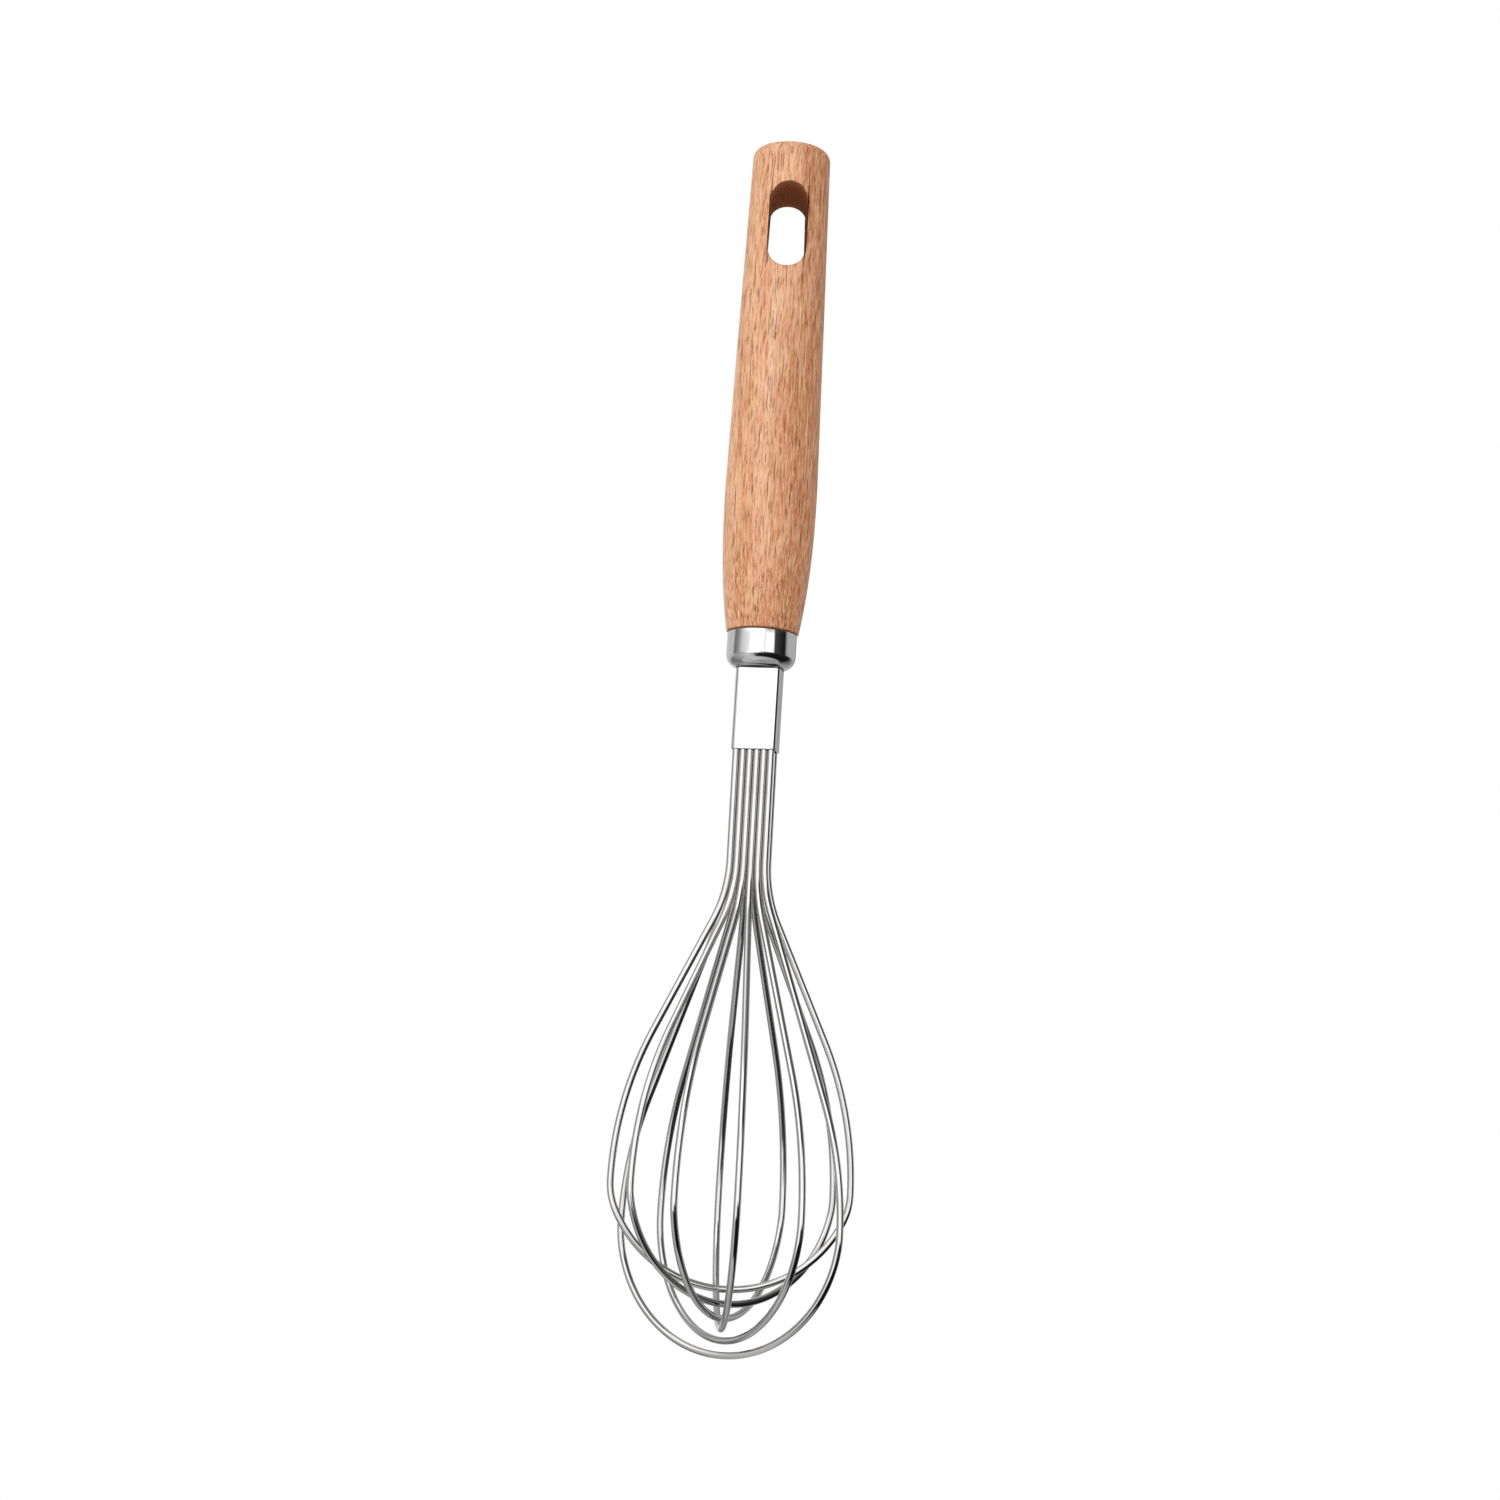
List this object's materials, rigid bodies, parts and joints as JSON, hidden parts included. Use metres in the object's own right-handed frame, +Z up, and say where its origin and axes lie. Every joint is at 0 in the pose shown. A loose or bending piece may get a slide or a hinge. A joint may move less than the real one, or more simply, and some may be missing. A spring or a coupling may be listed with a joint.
{
  "type": "balloon whisk",
  "caption": "Balloon whisk with nested wire loops fanned about one axis, a flattened wire sleeve, a polished cap and a turned wooden handle with a hanging slot.",
  "frame": {"origin": "centre of the hanging slot's upper round end, on the handle's axis", "axes": "+Z up along the handle towards the butt, the balloon hanging towards -Z; the slot runs through along Y, its front at -Y; +X to the right"},
  "size_m": [0.0552, 0.0595, 0.2812],
  "materials": {
    "handle_wood": "satin lacquered beech with fine dark pores along the grain",
    "cap_steel": "mirror polished stainless steel",
    "sleeve_steel": "bright polished stainless steel",
    "wire_steel": "bright drawn and polished stainless steel wire",
    "tang_steel": "plain rolled steel",
    "resin": "cured resin, pale amber"
  },
  "bodies": {
    "root": {"handle": "handle_wood", "ferrule_cap": "cap_steel", "wire_sleeve": "sleeve_steel", "tang": "tang_steel", "tang_glue": "resin", "wire_loop_1": "wire_steel", "wire_loop_2": "wire_steel", "wire_loop_3": "wire_steel", "wire_loop_4": "wire_steel", "wire_loop_5": "wire_steel", "wire_loop_6": "wire_steel"}
  },
  "joints": []
}
